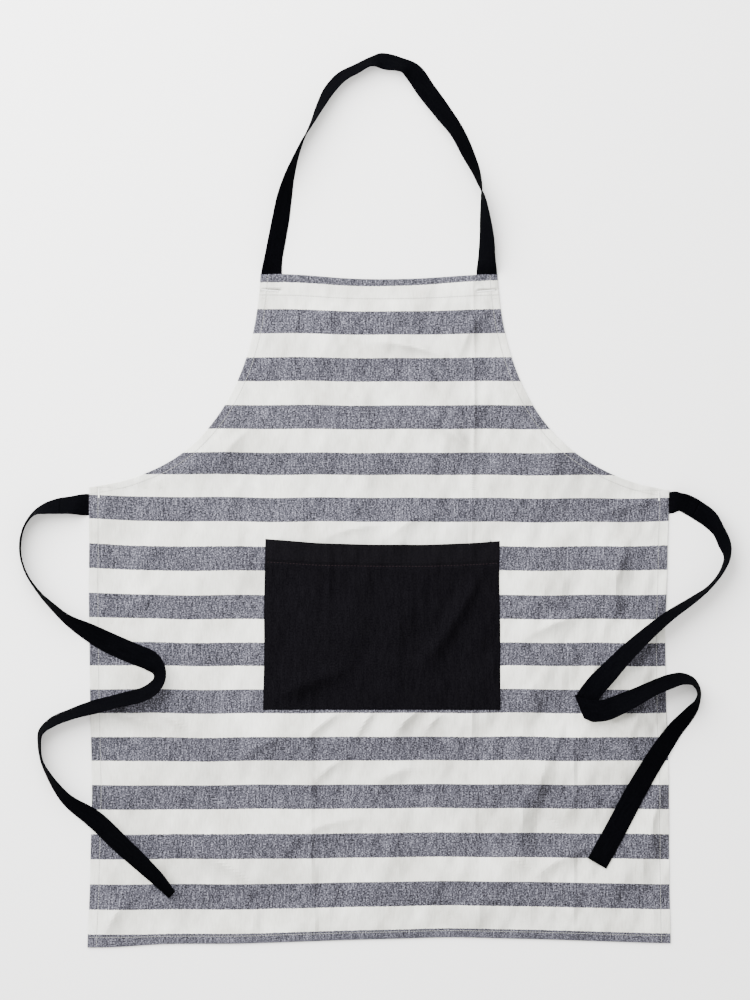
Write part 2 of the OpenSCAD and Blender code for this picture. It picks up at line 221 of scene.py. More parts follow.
def settle(x, y):
    """How the cloth lies on the table, as each point's shift from the flat pattern."""
    dy = -3.9 * bell(x, 10, 100) * np.exp(-(((BIB_Y - y) / 95) ** 2))
    dy = dy + (3.6 - 3.6 * bell(x, 10, 80)) * np.exp(-(((BIB_Y - y) / 30) ** 2))
    dy = dy + 8.0 * bell(x, 95, 190) * np.exp(-(y - HEM_Y) / 105)
    dy = dy + 5.0 * np.sin(math.pi * np.clip((60 - y) / 560, 0, 1)) ** 0.8
    dy = dy + (2.2 - x / 300) * bell(y, 0, 45) - 2.2 * bell(y, -150, 60) * smooth(-340, -220, x)
    dy = dy + 1.6 * bell(y, -370, 75) - 1.2 * bell(y, -515, 22)
    dy = dy + 4.2 * np.exp(-(y - HEM_Y) / 9) * smooth(-345, -250, x)
    near_waist = bell(y, -40, 90)
    dy = dy + (3.2 * bell(x, -HALF, 40) + 1.5 * bell(x, HALF, 40)) * near_waist
    dy = dy + 0.55 * ripples(x, y * 0.6, 11, 130)
    below = smooth(WAIST_Y - 5, WAIST_Y - 60, y)
    dx = below * (3.2 * bell(x, -HALF, 120) * bell(y, -360, 130)
                  - 4.6 * bell(x, HALF, 120) * bell(y, -180, 110))
    dx = dx + 2.0 * np.sign(x) * bell(np.abs(x), HALF, 120) * bell(y, HEM_Y, 60)
    dx = dx + 0.5 * ripples(x * 0.4, y, 12, 120) * below
    return dx, dy


def arm_distance(x, y):
    """Distance in from the armhole curve, for points of the bib; large for the skirt."""
    curve = armhole(np.linspace(0, 1, 160))
    cx, cy = curve[:, 0], BIB_Y - curve[:, 1]
    flat_x, flat_y = np.abs(x).ravel(), y.ravel()
    best = np.full(flat_x.shape, 1e9)
    for i in range(len(cx) - 1):
        ax, ay, bx, by = cx[i], cy[i], cx[i + 1], cy[i + 1]
        ux, uy = bx - ax, by - ay
        t = np.clip(((flat_x - ax) * ux + (flat_y - ay) * uy) / (ux * ux + uy * uy), 0, 1)
        best = np.minimum(best, np.hypot(flat_x - ax - t * ux, flat_y - ay - t * uy))
    return best.reshape(np.shape(x))


def edge_distances(x, y):
    on_skirt = y <= WAIST_Y
    side = np.where(on_skirt, HALF - np.abs(x), 999.0)
    return side, y - HEM_Y, BIB_Y - y, arm_distance(x, y)


def crease(along, across, width, height):
    return height * along * np.exp(-np.sqrt((across / width) ** 2 + 0.1) + 0.316)


WRINKLES = (
    # x, y, turn, length, breadth, height
    (-70, -276, 38, 26, 7, 2.0), (-18, -274, 58, 20, 6, 2.0), (34, -270, 42, 26, 7, 1.9),
    (66, -272, 48, 16, 5, 1.2), (-62, -330, 40, 20, 6, 1.2), (20, -335, 20, 26, 9, 1.2),
    (198, -330, 72, 44, 9, 2.2), (180, -240, 60, 30, 7, 1.3), (172, -388, 85, 30, 9, 1.9),
    (226, -384, 80, 26, 9, 1.7), (-316, -262, -12, 40, 8, 2.0), (-250, -270, -25, 26, 8, 1.2),
    (218, -438, 28, 36, 9, 2.2), (160, -438, -20, 34, 9, 1.0), (215, -150, 22, 36, 8, 1.6),
    (160, -140, 30, 30, 8, 1.0), (88, 82, -38, 40, 9, 1.5), (-24, 118, -45, 34, 8, 1.3),
    (205, 62, -52, 34, 8, 1.5), (-180, 64, 50, 30, 8, 1.2), (300, -10, 15, 44, 9, 1.3),
    (36, -30, 28, 28, 7, 1.3), (-30, -38, 12, 30, 6, 1.0), (290, -90, 80, 36, 6, 1.6),
    (268, -268, -16, 32, 9, 1.8), (316, -264, 62, 28, 8, 1.8), (322, -212, 78, 24, 8, 1.5),
    (-60, -395, 15, 34, 8, 1.4), (-140, -300, 25, 36, 8, 1.2), (120, -500, 84, 30, 8, 1.1),
    (232, -500, 70, 24, 7, 1.2), (-60, -500, 88, 24, 7, 1.0), (-200, -436, -25, 50, 9, 1.2),
    (-322, -505, 60, 20, 6, 1.2), (-150, -505, 80, 20, 7, 0.9), (-96, -210, 86, 40, 8, 0.8),
    (45, 186, -14, 40, 7, 1.6), (-100, 215, 75, 22, 6, 0.9), (110, 205, 60, 24, 6, 1.0),
    (-60, 222, 84, 14, 5, 1.0), (-290, -130, 60, 26, 7, 0.9), (330, -395, 80, 24, 6, 1.4),
    (318, -440, 84, 22, 6, 1.0), (260, -215, 75, 24, 7, 1.4),
)


def wrinkles(x, y):
    """Height of the pressed cloth's unevenness, livelier to the right and below, always above the table."""
    lively = 0.55 + 0.45 * smooth(-180, 260, x) * (0.45 + 0.55 * smooth(60, -260, y))
    h = 1.1 * ripples(x, y, 3, 150) + 0.8 * ripples(x, y * 0.8, 4, 70)
    h = h + 0.36 * ripples(x * 1.3, y * 0.7, 6, 34)
    h = 1.45 + lively * (h + 0.07 * ripples(x * 1.4, y * 0.6, 5, 15))
    h = h + crease(0.75 + 0.25 * np.sin(y / 60), x - 113 - 2 * np.sin(y / 90), 2.4, 0.75)
    h = h + crease(smooth(-180, -280, y), x + 81 + 3 * np.sin(y / 70), 2.8, 0.8)
    h = h + crease(smooth(-150, -260, y), x - 235 - 2 * np.sin(y / 50), 3.2, 0.6)
    for cx, cy, turn, length, breadth, height in WRINKLES:
        a = math.radians(turn)
        u = ((x - cx) * math.cos(a) + (y - cy) * math.sin(a)) / length
        v = (-(x - cx) * math.sin(a) + (y - cy) * math.cos(a)) / breadth + 0.5 * u * u
        h = h + height * np.exp(-u * u - np.sqrt(v * v + 0.12) + 0.346)
    return np.clip(h, 0.05, 5.0)


def tack_dent(x, y):
    """The cloth is pulled down along the tacks that hold the neck strap."""
    across = np.abs(np.abs(x) - STRAP_X)
    return (-0.7 * bell(y, BIB_Y - 19, 1.7) * (1 - smooth(9, 14, across))
            + 0.35 * bell(y, BIB_Y - 16, 2.5) * (1 - smooth(9, 15, across)))


def seam_offsets(x, y):
    """Signed distance to the nearest line of hem stitching."""
    side, bottom, top, arm = edge_distances(x, y)
    options = np.stack([side - (SIDE_HEM - 1), bottom - (BOTTOM_HEM - 1),
                        top - (BIB_HEM - 1), arm - (ARM_HEM - 1)])
    pick = np.abs(options).argmin(0)
    return np.take_along_axis(options, pick[None], 0)[0]


def cloth_base(x, y):
    """Height of the cloth's underside above the table."""
    side, bottom, top, arm = edge_distances(x, y)
    rise = np.zeros(np.shape(x))
    for d, w in ((side, SIDE_HEM), (bottom, BOTTOM_HEM), (top, BIB_HEM), (arm, ARM_HEM)):
        rise = np.maximum(rise, 1 - smooth(w - 0.5, w + 6, d))
    pucker = 0.14 * np.exp(-np.abs(seam_offsets(x, y)) / 6) * ripples(x, y, 8, 10)
    body = 0.06 + wrinkles(x, y) * (1 - 0.72 * rise)
    lie = np.maximum(HEM_H * rise + 0.75 * body * (1 - 0.4 * rise), body)
    return lie + pucker + 0.1 + 0.5 * tack_dent(x, y)


def cloth_top(x, y):
    return cloth_base(x, y) + CLOTH_T


def laid(x, y, lift):
    """Puts points of the flat pattern in their place on the table."""
    dx, dy = settle(x, y)
    return np.stack([x + dx, y + dy, lift], -1)


def flat_of(x, y):
    return np.stack([x, y, np.zeros(np.shape(x))], -1)


def columns(half, inner):
    """Distances from the middle line, fine at the folded edge and along the hem's stitching."""
    edge = np.array([0, 0.25, 0.6, 1.1, 2.2, 4.0, 6.5, 9.0, 10.5, 12.0, 14.0, 16.5, 19.5])
    right = half - edge[::-1]
    core = np.linspace(-(half - 22.5), half - 22.5, inner)
    return np.concatenate([-right[::-1], core, right])


def cloth_grid():
    skirt_rows = np.concatenate([
        HEM_Y + np.array([0, 0.25, 0.6, 1.1, 2.2, 4.5, 7, 9.5, 11.5, 13, 14.5, 17, 20]),
        np.linspace(HEM_Y + 23, WAIST_Y - 9, 150),
        WAIST_Y - np.array([7, 5, 3.4, 2.0, 1.0, 0.4]),
    ])
    t = even_steps(150)
    curve = armhole(t)[::-1]
    top = BIB_Y - np.array([
        26.5, 25, 24, 22.5, 21, 20, 19, 18, 17, 15.5, 14, 11, 7.5, 4.5, 2.2, 1.1, 0.6, 0.25, 0,
    ])
    low = [(p[0], BIB_Y - p[1]) for p in curve if BIB_Y - p[1] < BIB_Y - 28]
    tt = np.linspace(0, 0.5, 200)
    pp = armhole(tt)
    high = [(np.interp(BIB_Y - y, pp[:, 1], pp[:, 0]), y) for y in top]
    xs, ys = [], []
    for y in skirt_rows:
        xs.append(columns(HALF, 150))
        ys.append(np.full(len(xs[-1]), y))
    for half, y in low + high:
        xs.append(columns(half, 150))
        ys.append(np.full(len(xs[-1]), y))
    return np.array(xs), np.array(ys)


def rolled_edge(x, y, reach=1.0, drop=0.55):
    """How far the outer face turns down where the cloth is folded under at every edge."""
    side, bottom, top, arm = edge_distances(x, y)
    d = np.clip(np.minimum(np.minimum(side, bottom), np.minimum(top, arm)), 0, reach)
    return drop * (1 - np.sqrt(np.clip(1 - (1 - d / reach) ** 2, 0, 1)))


def make_cloth(material):
    x, y = cloth_grid()
    base = cloth_base(x, y)
    turned = rolled_edge(x, y)
    top = laid(x, y, base + CLOTH_T - turned)
    bottom = laid(x, y, base - 0.35 * turned)
    hills = wrinkles(x, y) + tack_dent(x, y)
    return layer("apron_cloth", top, bottom, flat_of(x, y), material, seam_offsets(x, y), hills)


def hem_strip(name, outer, inner, material, mirror):
    """A turned-under hem between two lines of the flat pattern, lying under the cloth."""
    steps = np.array([0.02, 0.08, 0.2, 0.4, 0.6, 0.8, 0.93, 1.0])
    x = outer[None, :, 0] + (inner - outer)[None, :, 0] * steps[:, None]
    y = outer[None, :, 1] + (inner - outer)[None, :, 1] * steps[:, None]
    ceiling = cloth_base(x, y) - 0.35 * rolled_edge(x, y) - 0.04
    thick = np.minimum(ceiling - 0.02, 0.95)
    thin = np.array([0.55, 0.8, 1, 1, 1, 1, 0.9, 0.6])[:, None]
    low = ceiling - thick * thin
    fx, fy = mirror(x, y)
    return layer(name, laid(x, y, ceiling), laid(x, y, low), flat_of(fx, fy), material)


# ------------------------ straps


def eased(route, n):
    """A smooth curve through the points of a route, with n stations to each step."""
    p = np.array(route, float)
    d = np.maximum(np.hypot(np.diff(p[:, 0]), np.diff(p[:, 1])), 1.0)
    v = np.zeros_like(p)
    v[0] = (p[1] - p[0]) / d[0]
    v[-1] = (p[-1] - p[-2]) / d[-1]
    for i in range(1, len(p) - 1):
        g, h = d[i - 1], d[i]
        v[i] = ((p[i] - p[i - 1]) * h / g + (p[i + 1] - p[i]) * g / h) / (g + h)
    out = []
    for i in range(len(p) - 1):
        for k in range(n):
            u, h = k / n, d[i]
            out.append((2 * u**3 - 3 * u**2 + 1) * p[i] + (u**3 - 2 * u**2 + u) * h * v[i]
                       + (3 * u**2 - 2 * u**3) * p[i + 1] + (u**3 - u**2) * h * v[i + 1])
    out.append(p[-1])
    return np.array(out)


def strap_frame(q, w):
    """Centre, half cross line and normal of every station."""
    roll, head = np.radians(q[:, 4]), np.radians(q[:, 3])
    rise = q[:, 2] + w / 2 * np.abs(np.sin(roll)) + STRAP_T / 2 * np.abs(np.cos(roll))
    c = np.stack([q[:, 0], q[:, 1], rise], -1)
    r = np.stack([np.cos(head) * np.cos(roll), np.sin(head) * np.cos(roll), np.sin(roll)], -1)
    t = np.gradient(c, axis=0)
    t /= np.linalg.norm(t, axis=1)[:, None]
    x = np.cross(t, r)
    size = np.linalg.norm(x, axis=1)[:, None]
    widest = np.where(q[:, 2] > 1.02, 0.86, 0.5)[:, None]
    return c, r * (w / 2) / np.maximum(widest, size), x / size


# A strap's section: places across its half width, and its half thickness there
SHARE = np.array([
    -1, -0.992, -0.965, -0.93, -0.89, -0.85, -0.80, -0.6, -0.3, 0,
    0.3, 0.6, 0.80, 0.85, 0.89, 0.93, 0.965, 0.992, 1,
])
FATNESS = STRAP_T * np.array([
    0.0, 0.20, 0.36, 0.46, 0.45, 0.36, 0.45, 0.5, 0.47, 0.46,
    0.47, 0.5, 0.45, 0.36, 0.45, 0.46, 0.36, 0.20, 0.0,
])
ROUND = np.concatenate([SHARE, SHARE[-2:0:-1]])
SEAM_SHARE = 0.85  # where the topstitching runs


def strap_shape(route, w, seed, ground):
    """Rings of points round a sewn strap resting on what is below it, and its frame at each ring."""
    q = eased(route, STEPS)
    c, half, nrm = strap_frame(q, w)
    run = np.concatenate([[0], np.cumsum(np.linalg.norm(np.diff(c, axis=0), axis=1))])
    soft = smooth(20, 60, run)[:, None] * 0.9 + 0.1
    wave = ripples(run, run * 0, seed, 46)[:, None] * 0.30 * soft
    plump = 1 + 0.5 * np.abs(np.sin(np.radians(q[:, 4])))[:, None] ** 12
    fat = np.concatenate([FATNESS, -FATNESS[-2:0:-1]])
    along = run[:, None] * np.ones(len(ROUND))
    pucker = 0.10 * ripples(along, np.sign(ROUND) * 30.0, seed + 1, 9) * smooth(0.6, 0.9, np.abs(ROUND))
    rings = (c[:, None] + half[:, None] * ROUND[None, :, None]
             + nrm[:, None] * ((fat * plump + pucker * soft)[..., None] + wave[:, None]))
    lows = rings[..., 2].min(1)
    rest = ground(q, rings)
    shift = rest - lows
    rings[..., 2] += shift[:, None]
    c = c.copy()
    c[:, 2] += shift
    c = c + nrm * wave
    return rings, (c, half, nrm, plump, run)


def tube_mesh(name, rings, material, flat):
    """A closed tube through rings of points, with its faces turned outwards."""
    n, k = rings.shape[:2]
    i = np.arange(n - 1)[:, None] * k
    j = np.arange(k)[None]
    a, b = i + j, i + (j + 1) % k
    quads = np.stack([a, b, b + k, a + k], -1).reshape(-1, 4)
    caps = [list(range(k))[::-1], [(n - 1) * k + v for v in range(k)]]
    points = rings.reshape(-1, 3)
    volume = 0.0
    for f in quads:
        p = points[f]
        volume += np.dot(p[0], np.cross(p[1], p[2])) + np.dot(p[0], np.cross(p[2], p[3]))
    if volume < 0:
        quads = quads[:, ::-1]
        caps = [f[::-1] for f in caps]
    return new_mesh(name, points, [*quads.tolist(), *caps], material, flat)


def strap_flat(run, w):
    return np.stack(np.broadcast_arrays(ROUND[None] * w / 2, run[:, None], 0.0), -1)


def over_ground(q, rings):
    """Height of each ring's lowest point, over the cloth or the table as its route says."""
    x, y = rings[..., 0], rings[..., 1]
    inside = (np.abs(x) < HALF + 0.5) & (y < WAIST_Y) & (y > HEM_Y)
    surface = cloth_top(np.clip(x, -HALF + 1, HALF - 1), np.clip(y, HEM_Y + 1, None))
    surface = np.where(inside, surface, 0.0)
    low = rings[..., 2].min(1)[:, None]
    near = rings[..., 2] < low + 3.0
    under = np.where(near, surface, 0.0).max(1)
    pad = np.array([under[max(0, i - 3):i + 4].max() for i in range(len(under))])
    soft = np.convolve(np.pad(pad, 4, mode="edge"), np.ones(9) / 9, "valid")
    level = np.clip(q[:, 2], 0, None)
    lifted = np.maximum(pad, soft) + 0.25 + np.clip(level - 1, 0, None) * 2.3
    rested = np.where(level > 0.02, lifted * np.clip(level, 0, 1), TABLE_GAP)
    past_seam = np.arange(len(q)) > SEWN_RINGS + 1
    return np.where(inside.any(1) & past_seam, np.maximum(rested, pad + 0.25), rested)


def on_table(q, rings):
    return np.full(len(q), TABLE_GAP)


# ------------------------ thread


def thread_mesh(name, runs, radius, material, sides=6):
    """Many short lengths of thread in one mesh; each run is (points, upward direction)."""
    points, faces, flats = [], [], []
    ring = np.linspace(0, 2 * math.pi, sides, endpoint=False)
    for line, up in runs:
        line = np.asarray(line, float)
        t = np.gradient(line, axis=0)
        t /= np.linalg.norm(t, axis=1)[:, None]
        side = np.cross(t, up)
        side /= np.linalg.norm(side, axis=1)[:, None]
        top = np.cross(side, t)
        taper = np.ones(len(line))
        taper[0] = taper[-1] = 0.45
        start = len(points)
        for p, s, u, g in zip(line, side, top, taper):
            for a in ring:
                points.append(p + (s * math.cos(a) + u * math.sin(a)) * radius * g)
                flats.append((a, np.linalg.norm(p - line[0]), 0))
        for i in range(len(line) - 1):
            for k in range(sides):
                a, b = start + i * sides + k, start + i * sides + (k + 1) % sides
                faces.append((a, b, b + sides, a + sides))
        faces.append([start + k for k in range(sides)][::-1])
        faces.append([start + (len(line) - 1) * sides + k for k in range(sides)])
    return new_mesh(name, np.array(points), faces, material, np.array(flats))


def stitches(path, normal, length=2.5, pitch=3.1, lift=0.13, sink=0.16, seed=1):
    """Runs of thread along a path given at close spacing."""
    path, normal = np.asarray(path, float), np.asarray(normal, float)
    run = np.concatenate([[0], np.cumsum(np.linalg.norm(np.diff(path, axis=0), axis=1))])
    rng = np.random.default_rng(seed)
    out = []
    start = 0.8
    while start + length < run[-1]:
        size = length * rng.uniform(0.92, 1.06)
        s = start + size * np.array([0, 0.14, 0.5, 0.86, 1])
        pts = np.stack([np.interp(s, run, path[:, k]) for k in range(3)], -1)
        nrm = np.array([np.interp(start, run, normal[:, k]) for k in range(3)])
        nrm /= np.linalg.norm(nrm)
        rise = np.array([-sink, lift * 0.4, lift, lift * 0.4, -sink])
        pts = pts + nrm * rise[:, None]
        out.append((pts, nrm))
        start += pitch * rng.uniform(0.97, 1.03)
    return out


def on_cloth(x, y):
    """A line on the face of the cloth, as points and upward directions."""
    p = laid(x, y, cloth_top(x, y) - rolled_edge(x, y))
    return p, np.tile((0.0, 0.0, 1.0), (len(p), 1))


# ------------------------ materials


def shader(name, roughness, sheen=0.0, specular=0.25):
    m = bpy.data.materials.new(name)
    m.use_nodes = True
    nt = m.node_tree
    b = nt.nodes["Principled BSDF"]
    b.inputs["Roughness"].default_value = roughness
    b.inputs["Specular IOR Level"].default_value = specular
    b.inputs["Sheen Weight"].default_value = sheen
    b.inputs["Sheen Roughness"].default_value = 0.5
    return m, nt, b


def math_node(nt, op, a, b=None, c=None, clamp=False):
    n = nt.nodes.new("ShaderNodeMath")
    n.operation = op
    n.use_clamp = clamp
    for i, v in enumerate((a, b, c)):
        if v is None:
            continue
        if isinstance(v, (int, float)):
            n.inputs[i].default_value = v
        else:
            nt.links.new(v, n.inputs[i])
    return n.outputs[0]


def noise(nt, vector, scale, detail=2.0, rough=0.6, stretch=(1, 1, 1)):
    mp = nt.nodes.new("ShaderNodeMapping")
    mp.inputs["Scale"].default_value = stretch
    nt.links.new(vector, mp.inputs["Vector"])
    n = nt.nodes.new("ShaderNodeTexNoise")
    n.inputs["Scale"].default_value = scale
    n.inputs["Detail"].default_value = detail
    n.inputs["Roughness"].default_value = rough
    nt.links.new(mp.outputs[0], n.inputs["Vector"])
    return n.outputs["Fac"]


def blend_colour(nt, fac, a, b):
    n = nt.nodes.new("ShaderNodeMix")
    n.data_type = "RGBA"
    for socket, v in ((n.inputs[0], fac), (n.inputs[6], a), (n.inputs[7], b)):
        if isinstance(v, (int, float)):
            socket.default_value = v
        elif isinstance(v, tuple):
            socket.default_value = (*v, 1) if len(v) == 3 else v
        else:
            nt.links.new(v, socket)
    return n.outputs[2]


def ramp(nt, fac, stops):
    n = nt.nodes.new("ShaderNodeValToRGB")
    e = n.color_ramp.elements
    while len(e) < len(stops):
        e.new(0.5)
    for el, (pos, col) in zip(e, stops):
        el.position = pos
        el.color = (*col, 1)
    nt.links.new(fac, n.inputs[0])
    return n.outputs[0]


def bump(nt, height, strength, distance, normal=None):
    n = nt.nodes.new("ShaderNodeBump")
    n.inputs["Strength"].default_value = strength
    n.inputs["Distance"].default_value = distance
    nt.links.new(height, n.inputs["Height"])
    if normal is not None:
        nt.links.new(normal, n.inputs["Normal"])
    return n.outputs[0]


def weave(nt, sx, sy, pitch):
    """Over and under threads of a plain weave, from 0 to 1."""
    k = 2 * math.pi / pitch
    a = math_node(nt, "SINE", math_node(nt, "MULTIPLY", sx, k))
    b = math_node(nt, "SINE", math_node(nt, "MULTIPLY", sy, k))
    return math_node(nt, "MULTIPLY_ADD", math_node(nt, "MULTIPLY", a, b), 0.5, 0.5)


def flat_coordinates(nt):
    att = nt.nodes.new("ShaderNodeAttribute")
    att.attribute_name = "flat"
    sep = nt.nodes.new("ShaderNodeSeparateXYZ")
    nt.links.new(att.outputs["Vector"], sep.inputs[0])
    return att.outputs["Vector"], sep.outputs[0], sep.outputs[1]


def relief(nt):
    att = nt.nodes.new("ShaderNodeAttribute")
    att.attribute_name = "relief"
    return att.outputs["Fac"]


def striped_cloth():
    m, nt, b = shader("striped_cloth", 0.9, 0.04, 0.12)
    vec, sx, sy = flat_coordinates(nt)
    # Bands of equal width, with frayed edges; the top fold shows a narrow grey band of its own
    frayed = noise(nt, vec, 1.0, 1.0, 0.5, (900, 60, 1))
    edge = math_node(nt, "MULTIPLY_ADD", frayed, 0.0020, -0.0010)
    y = math_node(nt, "ADD", sy, edge)
    along = math_node(nt, "DIVIDE", math_node(nt, "SUBTRACT", FIRST_BAND_TOP, y), STRIPE_REPEAT)
    part = math_node(nt, "FRACT", math_node(nt, "ADD", along, 20.0))
    band = math_node(nt, "LESS_THAN", part, 0.5)
    below = math_node(nt, "LESS_THAN", y, 0.245)
    band = math_node(nt, "MULTIPLY", band, below)
    fold = math_node(nt, "GREATER_THAN", math_node(nt, "MULTIPLY_ADD", sx, -0.009, y), 0.2614)
    grey_mask = math_node(nt, "MAXIMUM", band, fold)
    # Grey bands: light and dark yarns side by side, with slubs running down the cloth
    fine = noise(nt, vec, 1.0, 1.0, 0.8, (620, 540, 1))
    slub = noise(nt, vec, 1.0, 1.0, 0.6, (480, 80, 1))
    broad = noise(nt, vec, 1.0, 2.0, 0.5, (60, 9, 1))
    mixed = math_node(nt, "MULTIPLY_ADD", slub, 0.26, math_node(nt, "MULTIPLY", fine, 0.66))
    mixed = math_node(nt, "MULTIPLY_ADD", broad, 0.08, mixed)
    grey = ramp(nt, mixed, [
        (0.37, (0.0062, 0.0062, 0.0080)), (0.45, (0.0295, 0.0292, 0.0375)),
        (0.50, (0.0505, 0.0502, 0.0635)), (0.55, (0.083, 0.0825, 0.103)), (0.65, (0.205, 0.203, 0.245)),
    ])
    # White bands: nearly even, with faint yarn streaks and a rare dark fleck
    streak = noise(nt, vec, 1.0, 2.0, 0.7, (460, 90, 1))
    patch = noise(nt, vec, 1.0, 3.0, 0.6, (16, 12, 1))
    patches = math_node(nt, "MULTIPLY_ADD", patch, 2.1, -1.05)
    light = math_node(nt, "MULTIPLY_ADD", streak, 1.0, patches, clamp=True)
    white = blend_colour(nt, light, (0.535, 0.528, 0.482), (0.825, 0.832, 0.788))
    fleck = noise(nt, vec, 1.0, 0.0, 0.5, (330, 330, 1))
    rare = math_node(nt, "GREATER_THAN", fleck, 0.865)
    white = blend_colour(nt, math_node(nt, "MULTIPLY", rare, 0.35), white, (0.25, 0.24, 0.22))
    colour = blend_colour(nt, grey_mask, white, grey)
    # Relief: weave, yarns, and the dimple along each line of stitching; the dimple's shade is also painted
    # into the colour
    threads = weave(nt, sx, sy, 0.0011)
    yarn = noise(nt, vec, 1.0, 2.0, 0.6, (700, 120, 1))
    seam = nt.nodes.new("ShaderNodeAttribute")
    seam.attribute_name = "seam"
    away = math_node(nt, "ABSOLUTE", seam.outputs["Fac"])
    dip = math_node(nt, "SUBTRACT", 1.0, math_node(nt, "DIVIDE", away, 0.0014), clamp=True)
    dip = math_node(nt, "MULTIPLY", math_node(nt, "MULTIPLY", dip, dip), -1.0)
    # Painted shade: along each line of stitching up to about a fifth of the colour goes to dark grey,
    # standing in for the shade in the dimple
    painted_seam_shade = math_node(nt, "MULTIPLY", dip, -0.22)
    nt.links.new(blend_colour(nt, painted_seam_shade, colour, (0.05, 0.05, 0.05)), b.inputs["Base Color"])
    n1 = bump(nt, threads, 0.35, 0.00012)
    n2 = bump(nt, yarn, 0.35, 0.00025, n1)
    n3 = bump(nt, dip, 0.7, 0.00045, n2)
    nt.links.new(bump(nt, relief(nt), 1.0, 4.4, n3), b.inputs["Normal"])
    return m


def dark_cloth(name, colour, light, pitch, twill):
    """Black cloth; twill is for the webbing, and the other one is the pocket's, doubled at its mouth."""
    m, nt, b = shader(name, 0.9, 0.0, 0.004)
    vec, sx, sy = flat_coordinates(nt)
    lint = noise(nt, vec, 1.0, 2.0, 0.65, (700, 500, 1))
    streak = noise(nt, vec, 1.0, 2.0, 0.6, (330, 60, 1))
    mixed = math_node(nt, "MULTIPLY_ADD", lint, 0.7, math_node(nt, "MULTIPLY", streak, 0.3))
    tone = ramp(nt, mixed, [(0.38, colour), (0.66, light)])
    if not twill:
        doubled = math_node(nt, "GREATER_THAN", sy, -0.0265)
        tone = blend_colour(nt, math_node(nt, "MULTIPLY", doubled, 0.12), tone, (0.009, 0.0085, 0.0095))
    nt.links.new(tone, b.inputs["Base Color"])
    if twill:
        k = 2 * math.pi / pitch
        rows = math_node(nt, "SINE", math_node(nt, "MULTIPLY", math_node(nt, "ADD", sx, sy), k))
        threads = math_node(nt, "MULTIPLY_ADD", rows, 0.5, 0.5)
    else:
        threads = weave(nt, sx, sy, pitch)
    n1 = bump(nt, threads, 0.45, 0.00012)
    n2 = bump(nt, lint, 0.3, 0.0002, n1)
    if not twill:
        n2 = bump(nt, relief(nt), 1.0, 2.0, n2)
    nt.links.new(n2, b.inputs["Normal"])
    return m


def spun_thread(name, colour, light):
    m, nt, b = shader(name, 0.85, 0.0, 0.005)
    vec, sx, sy = flat_coordinates(nt)
    twist = math_node(nt, "SINE", math_node(nt, "ADD", sx, math_node(nt, "MULTIPLY", sy, 9000.0)))
    fibre = noise(nt, vec, 1.0, 2.0, 0.6, (2000, 2500, 1))
    nt.links.new(blend_colour(nt, fibre, colour, light), b.inputs["Base Color"])
    nt.links.new(bump(nt, twist, 0.3, 0.00005), b.inputs["Normal"])
    return m


def plain_floor():
    m, nt, b = shader("pale_floor", 0.95)
    co = nt.nodes.new("ShaderNodeTexCoord")
    grain = noise(nt, co.outputs["Object"], 1.0, 2.0, 0.5, (40, 40, 1))
    pale = blend_colour(nt, grain, (0.955, 0.955, 0.955), (0.965, 0.965, 0.965))
    nt.links.new(pale, b.inputs["Base Color"])
    return m


STRIPED = striped_cloth()
POCKET_BLACK = dark_cloth("black_cloth", (0.0017, 0.0015, 0.0021), (0.0046, 0.0043, 0.0054), 0.0009, False)
STRAP_BLACK = dark_cloth("black_webbing", (0.0008, 0.0008, 0.0012), (0.0017, 0.0018, 0.0024), 0.0011, True)
HEM_THREAD = spun_thread("hem_thread", (0.34, 0.34, 0.335), (0.50, 0.50, 0.49))
WHITE_THREAD = spun_thread("white_thread", (0.80, 0.80, 0.78), (0.90, 0.90, 0.88))
BLACK_THREAD = spun_thread("dark_thread", (0.018, 0.0115, 0.0130), (0.034, 0.022, 0.025))
STRAP_THREAD = spun_thread("strap_thread", (0.0012, 0.0012, 0.0018), (0.0030, 0.0028, 0.0038))

# ------------------------ the striped cloth and its hems


def across_waist(ob):
    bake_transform(ob)


def finish_piece(ob, slot, *nodes):
    if nodes:
        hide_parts(*nodes)
    return ob


def side_line(side, inset, y0, y1, count=170):
    y = np.linspace(y0, y1, count)
    return np.stack([np.full(count, side * (HALF - inset)), y], -1)


def cross_line(y, half, count=170):
    x = np.linspace(-half, half, count)
    return np.stack([x, np.full(count, y)], -1)


def arm_line(side, inset, t0=0.09, t1=1.0, count=110):
    t = np.linspace(t0, t1, count)
    p = armhole(t)
    d = armhole(np.minimum(t + 0.004, 1)) - armhole(np.maximum(t - 0.004, 0))
    d /= np.linalg.norm(d, axis=1)[:, None]
    q = p + inset * np.stack([-d[:, 1], d[:, 0]], -1)
    q[:, 1] = np.minimum(q[:, 1], BIB_LEN - 0.3)
    return np.stack([side * q[:, 0], BIB_Y - q[:, 1]], -1)


